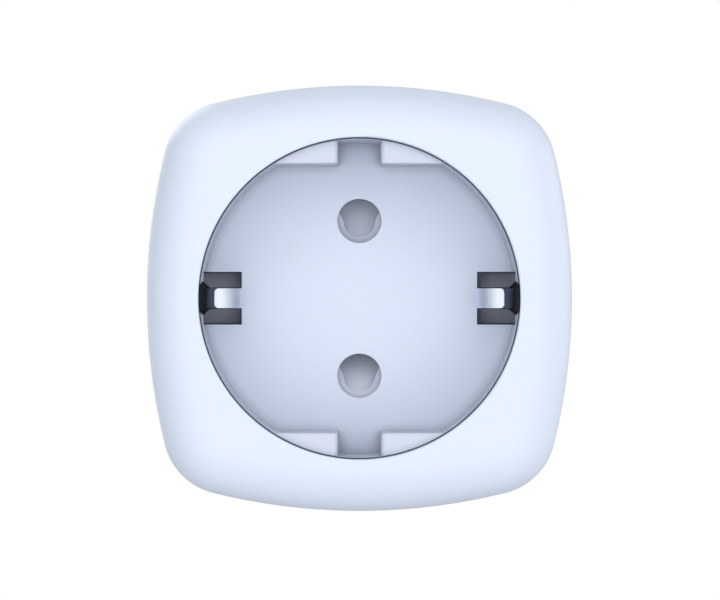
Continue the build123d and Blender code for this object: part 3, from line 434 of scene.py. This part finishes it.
coil = bmesh.new()
rings = []
for step in range(SPRING_TURNS * SPRING_STEPS + 1):
    turn = step / SPRING_STEPS
    middle = spring_point(turn)
    outward = Vector((math.cos(2 * math.pi * turn), math.sin(2 * math.pi * turn), 0))
    along = (spring_point(turn + SLOPE_STEP) - spring_point(turn - SLOPE_STEP)).normalized()
    across = along.cross(outward).normalized()
    ring = []
    for side in range(SPRING_SIDES):
        angle = 2 * math.pi * side / SPRING_SIDES
        offset = outward * math.cos(angle) + across * math.sin(angle)
        ring.append(coil.verts.new(middle + offset * SPRING_WIRE_R))
    rings.append(ring)
for before, after in zip(rings, rings[1:]):
    for side in range(SPRING_SIDES):
        turned = (side + 1) % SPRING_SIDES
        coil.faces.new((before[side], before[turned], after[turned], after[side]))
coil.faces.new(rings[0][::-1])
coil.faces.new(rings[-1])
bmesh.ops.recalc_face_normals(coil, faces=coil.faces)
for face in coil.faces:
    face.smooth = True
spring_mesh = bpy.data.meshes.new("wound_spring")
coil.to_mesh(spring_mesh)
coil.free()
spring_mesh.materials.append(MATERIALS["spring_steel"])
spring = bpy.data.objects.new("wound_spring", spring_mesh)
bpy.context.scene.collection.objects.link(spring)
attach(spring, "housing")
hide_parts("shutter_spring")
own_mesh(spring)


# ---------------------------------------------------------------- camera
# Straight in front, from far off. The frame's width is measured at the case's widest section.
FRONT_VIEW_DISTANCE = 2.6
WIDEST_SECTION_Y = -0.0537
FRAME_WIDTH = 0.08802
SENSOR_WIDTH = 36.0
CAMERA_X = 0.000075
CAMERA_Z = -0.000214
camera_data = bpy.data.cameras.new("camera")
camera_data.type = "PERSP"
camera_data.sensor_width = SENSOR_WIDTH
camera_data.lens = SENSOR_WIDTH * (FRONT_VIEW_DISTANCE + WIDEST_SECTION_Y) / FRAME_WIDTH
camera_data.clip_start = 0.1
camera_data.clip_end = 20.0
camera_data.dof.use_dof = False
camera = bpy.data.objects.new("camera", camera_data)
camera.location = (CAMERA_X, -FRONT_VIEW_DISTANCE, CAMERA_Z)
camera.rotation_euler = (math.pi / 2, 0, 0)
bpy.context.scene.collection.objects.link(camera)
bpy.context.scene.camera = camera

# ---------------------------------------------------------------- studio
WHITE = (1.0, 1.0, 1.0, 1.0)
scene = bpy.context.scene
scene.view_settings.view_transform = "Standard"
world = bpy.data.worlds.new("studio")
scene.world = world
world.use_nodes = True
sky = world.node_tree
sky.nodes.clear()
world_out = sky.nodes.new("ShaderNodeOutputWorld")
seen = sky.nodes.new("ShaderNodeBackground")
seen.inputs["Color"].default_value = WHITE
seen.inputs["Strength"].default_value = 1.0
lighting = sky.nodes.new("ShaderNodeBackground")
lighting.inputs["Strength"].default_value = 1.0
path = sky.nodes.new("ShaderNodeLightPath")
choose = sky.nodes.new("ShaderNodeMixShader")
direction = sky.nodes.new("ShaderNodeTexCoord")


def facing(towards, low, high, dim, bright, smooth=False):
    """Light that grows from dim to bright as its direction turns towards one axis."""
    dot = sky.nodes.new("ShaderNodeVectorMath")
    dot.operation = "DOT_PRODUCT"
    dot.inputs[1].default_value = Vector(towards).normalized()
    sky.links.new(direction.outputs["Generated"], dot.inputs[0])
    spread = sky.nodes.new("ShaderNodeMapRange")
    if smooth:
        spread.interpolation_type = "SMOOTHSTEP"
    ends = (("From Min", low), ("From Max", high), ("To Min", dim), ("To Max", bright))
    for socket, value in ends:
        spread.inputs[socket].default_value = value
    sky.links.new(dot.outputs["Value"], spread.inputs["Value"])
    return spread.outputs["Result"]


# An even studio, brighter to the right and a little so to the top, and one broad soft light
# in front.
SURROUND_TOWARDS = (0.8, 0, 0.2)
SURROUND_DIM = 0.53
SURROUND_BRIGHT = 0.70
FRONT = (0, -1, 0)
FRONT_LIGHT = 1.18
FRONT_RIM = 0.66
FRONT_FULL = 0.86
total = sky.nodes.new("ShaderNodeMath")
total.operation = "ADD"
surround = facing(SURROUND_TOWARDS, -1, 1, SURROUND_DIM, SURROUND_BRIGHT)
front = facing(FRONT, FRONT_RIM, FRONT_FULL, 0.0, FRONT_LIGHT, smooth=True)
sky.links.new(surround, total.inputs[0])
sky.links.new(front, total.inputs[1])
sky.links.new(total.outputs[0], lighting.inputs["Color"])
sky.links.new(path.outputs["Is Camera Ray"], choose.inputs[0])
sky.links.new(lighting.outputs[0], choose.inputs[1])
sky.links.new(seen.outputs[0], choose.inputs[2])
sky.links.new(choose.outputs[0], world_out.inputs["Surface"])

# name, width in m, power in W, place
SOFTBOXES = (
    ("back_softbox", 0.8, 3.0, (-0.6, 1.0, 0.7)),
    ("side_softbox", 0.9, 2.4, (1.1, 0.5, 0.1)),
    ("low_fill", 0.8, 1.2, (-0.3, 0.9, -0.03)),
)
AIMED_AT = (0, -0.03, 0)
for name, width, power, place in SOFTBOXES:
    lamp_data = bpy.data.lights.new(name, "AREA")
    lamp_data.shape = "DISK"
    lamp_data.size = width
    lamp_data.energy = power
    lamp = bpy.data.objects.new(name, lamp_data)
    lamp.location = place
    aim = Vector(AIMED_AT) - Vector(place)
    lamp.rotation_euler = aim.to_track_quat("-Z", "Y").to_euler()
    scene.collection.objects.link(lamp)

# Floor: pale around the object, and as white as the backdrop further out. It stays out of
# diffuse light, so it doesn't take away from what reaches the object from below.
FLOOR_Y = -0.02
FLOOR_Z = -0.045
FLOOR_RADIUS = 0.5
FLOOR_SEGMENTS = 96
FLOOR_PAINT = (0.88, 0.88, 0.88, 1.0)
FADE_FROM = 0.08
FADE_TO = 0.34
disc = bmesh.new()
bmesh.ops.create_circle(disc, cap_ends=True, segments=FLOOR_SEGMENTS, radius=FLOOR_RADIUS)
floor_mesh = bpy.data.meshes.new("studio_floor")
disc.to_mesh(floor_mesh)
disc.free()
floor = bpy.data.objects.new("studio_floor", floor_mesh)
floor.location = (0, FLOOR_Y, FLOOR_Z)
scene.collection.objects.link(floor)
floor.visible_diffuse = False
floor_material = bpy.data.materials.new("studio_floor")
floor_material.use_nodes = True
paint = floor_material.node_tree
paint.nodes.clear()
paint_out = paint.nodes.new("ShaderNodeOutputMaterial")
matt = paint.nodes.new("ShaderNodeBsdfDiffuse")
matt.inputs["Color"].default_value = FLOOR_PAINT
glow = paint.nodes.new("ShaderNodeEmission")
glow.inputs["Color"].default_value = WHITE
glow.inputs["Strength"].default_value = 1.0
where = paint.nodes.new("ShaderNodeTexCoord")
reach = paint.nodes.new("ShaderNodeVectorMath")
reach.operation = "LENGTH"
fade = paint.nodes.new("ShaderNodeMapRange")
fade.interpolation_type = "SMOOTHSTEP"
fade.inputs["From Min"].default_value = FADE_FROM
fade.inputs["From Max"].default_value = FADE_TO
blend = paint.nodes.new("ShaderNodeMixShader")
paint.links.new(where.outputs["Object"], reach.inputs[0])
paint.links.new(reach.outputs["Value"], fade.inputs["Value"])
paint.links.new(fade.outputs["Result"], blend.inputs[0])
paint.links.new(matt.outputs[0], blend.inputs[1])
paint.links.new(glow.outputs[0], blend.inputs[2])
paint.links.new(blend.outputs[0], paint_out.inputs["Surface"])
floor_mesh.materials.append(floor_material)
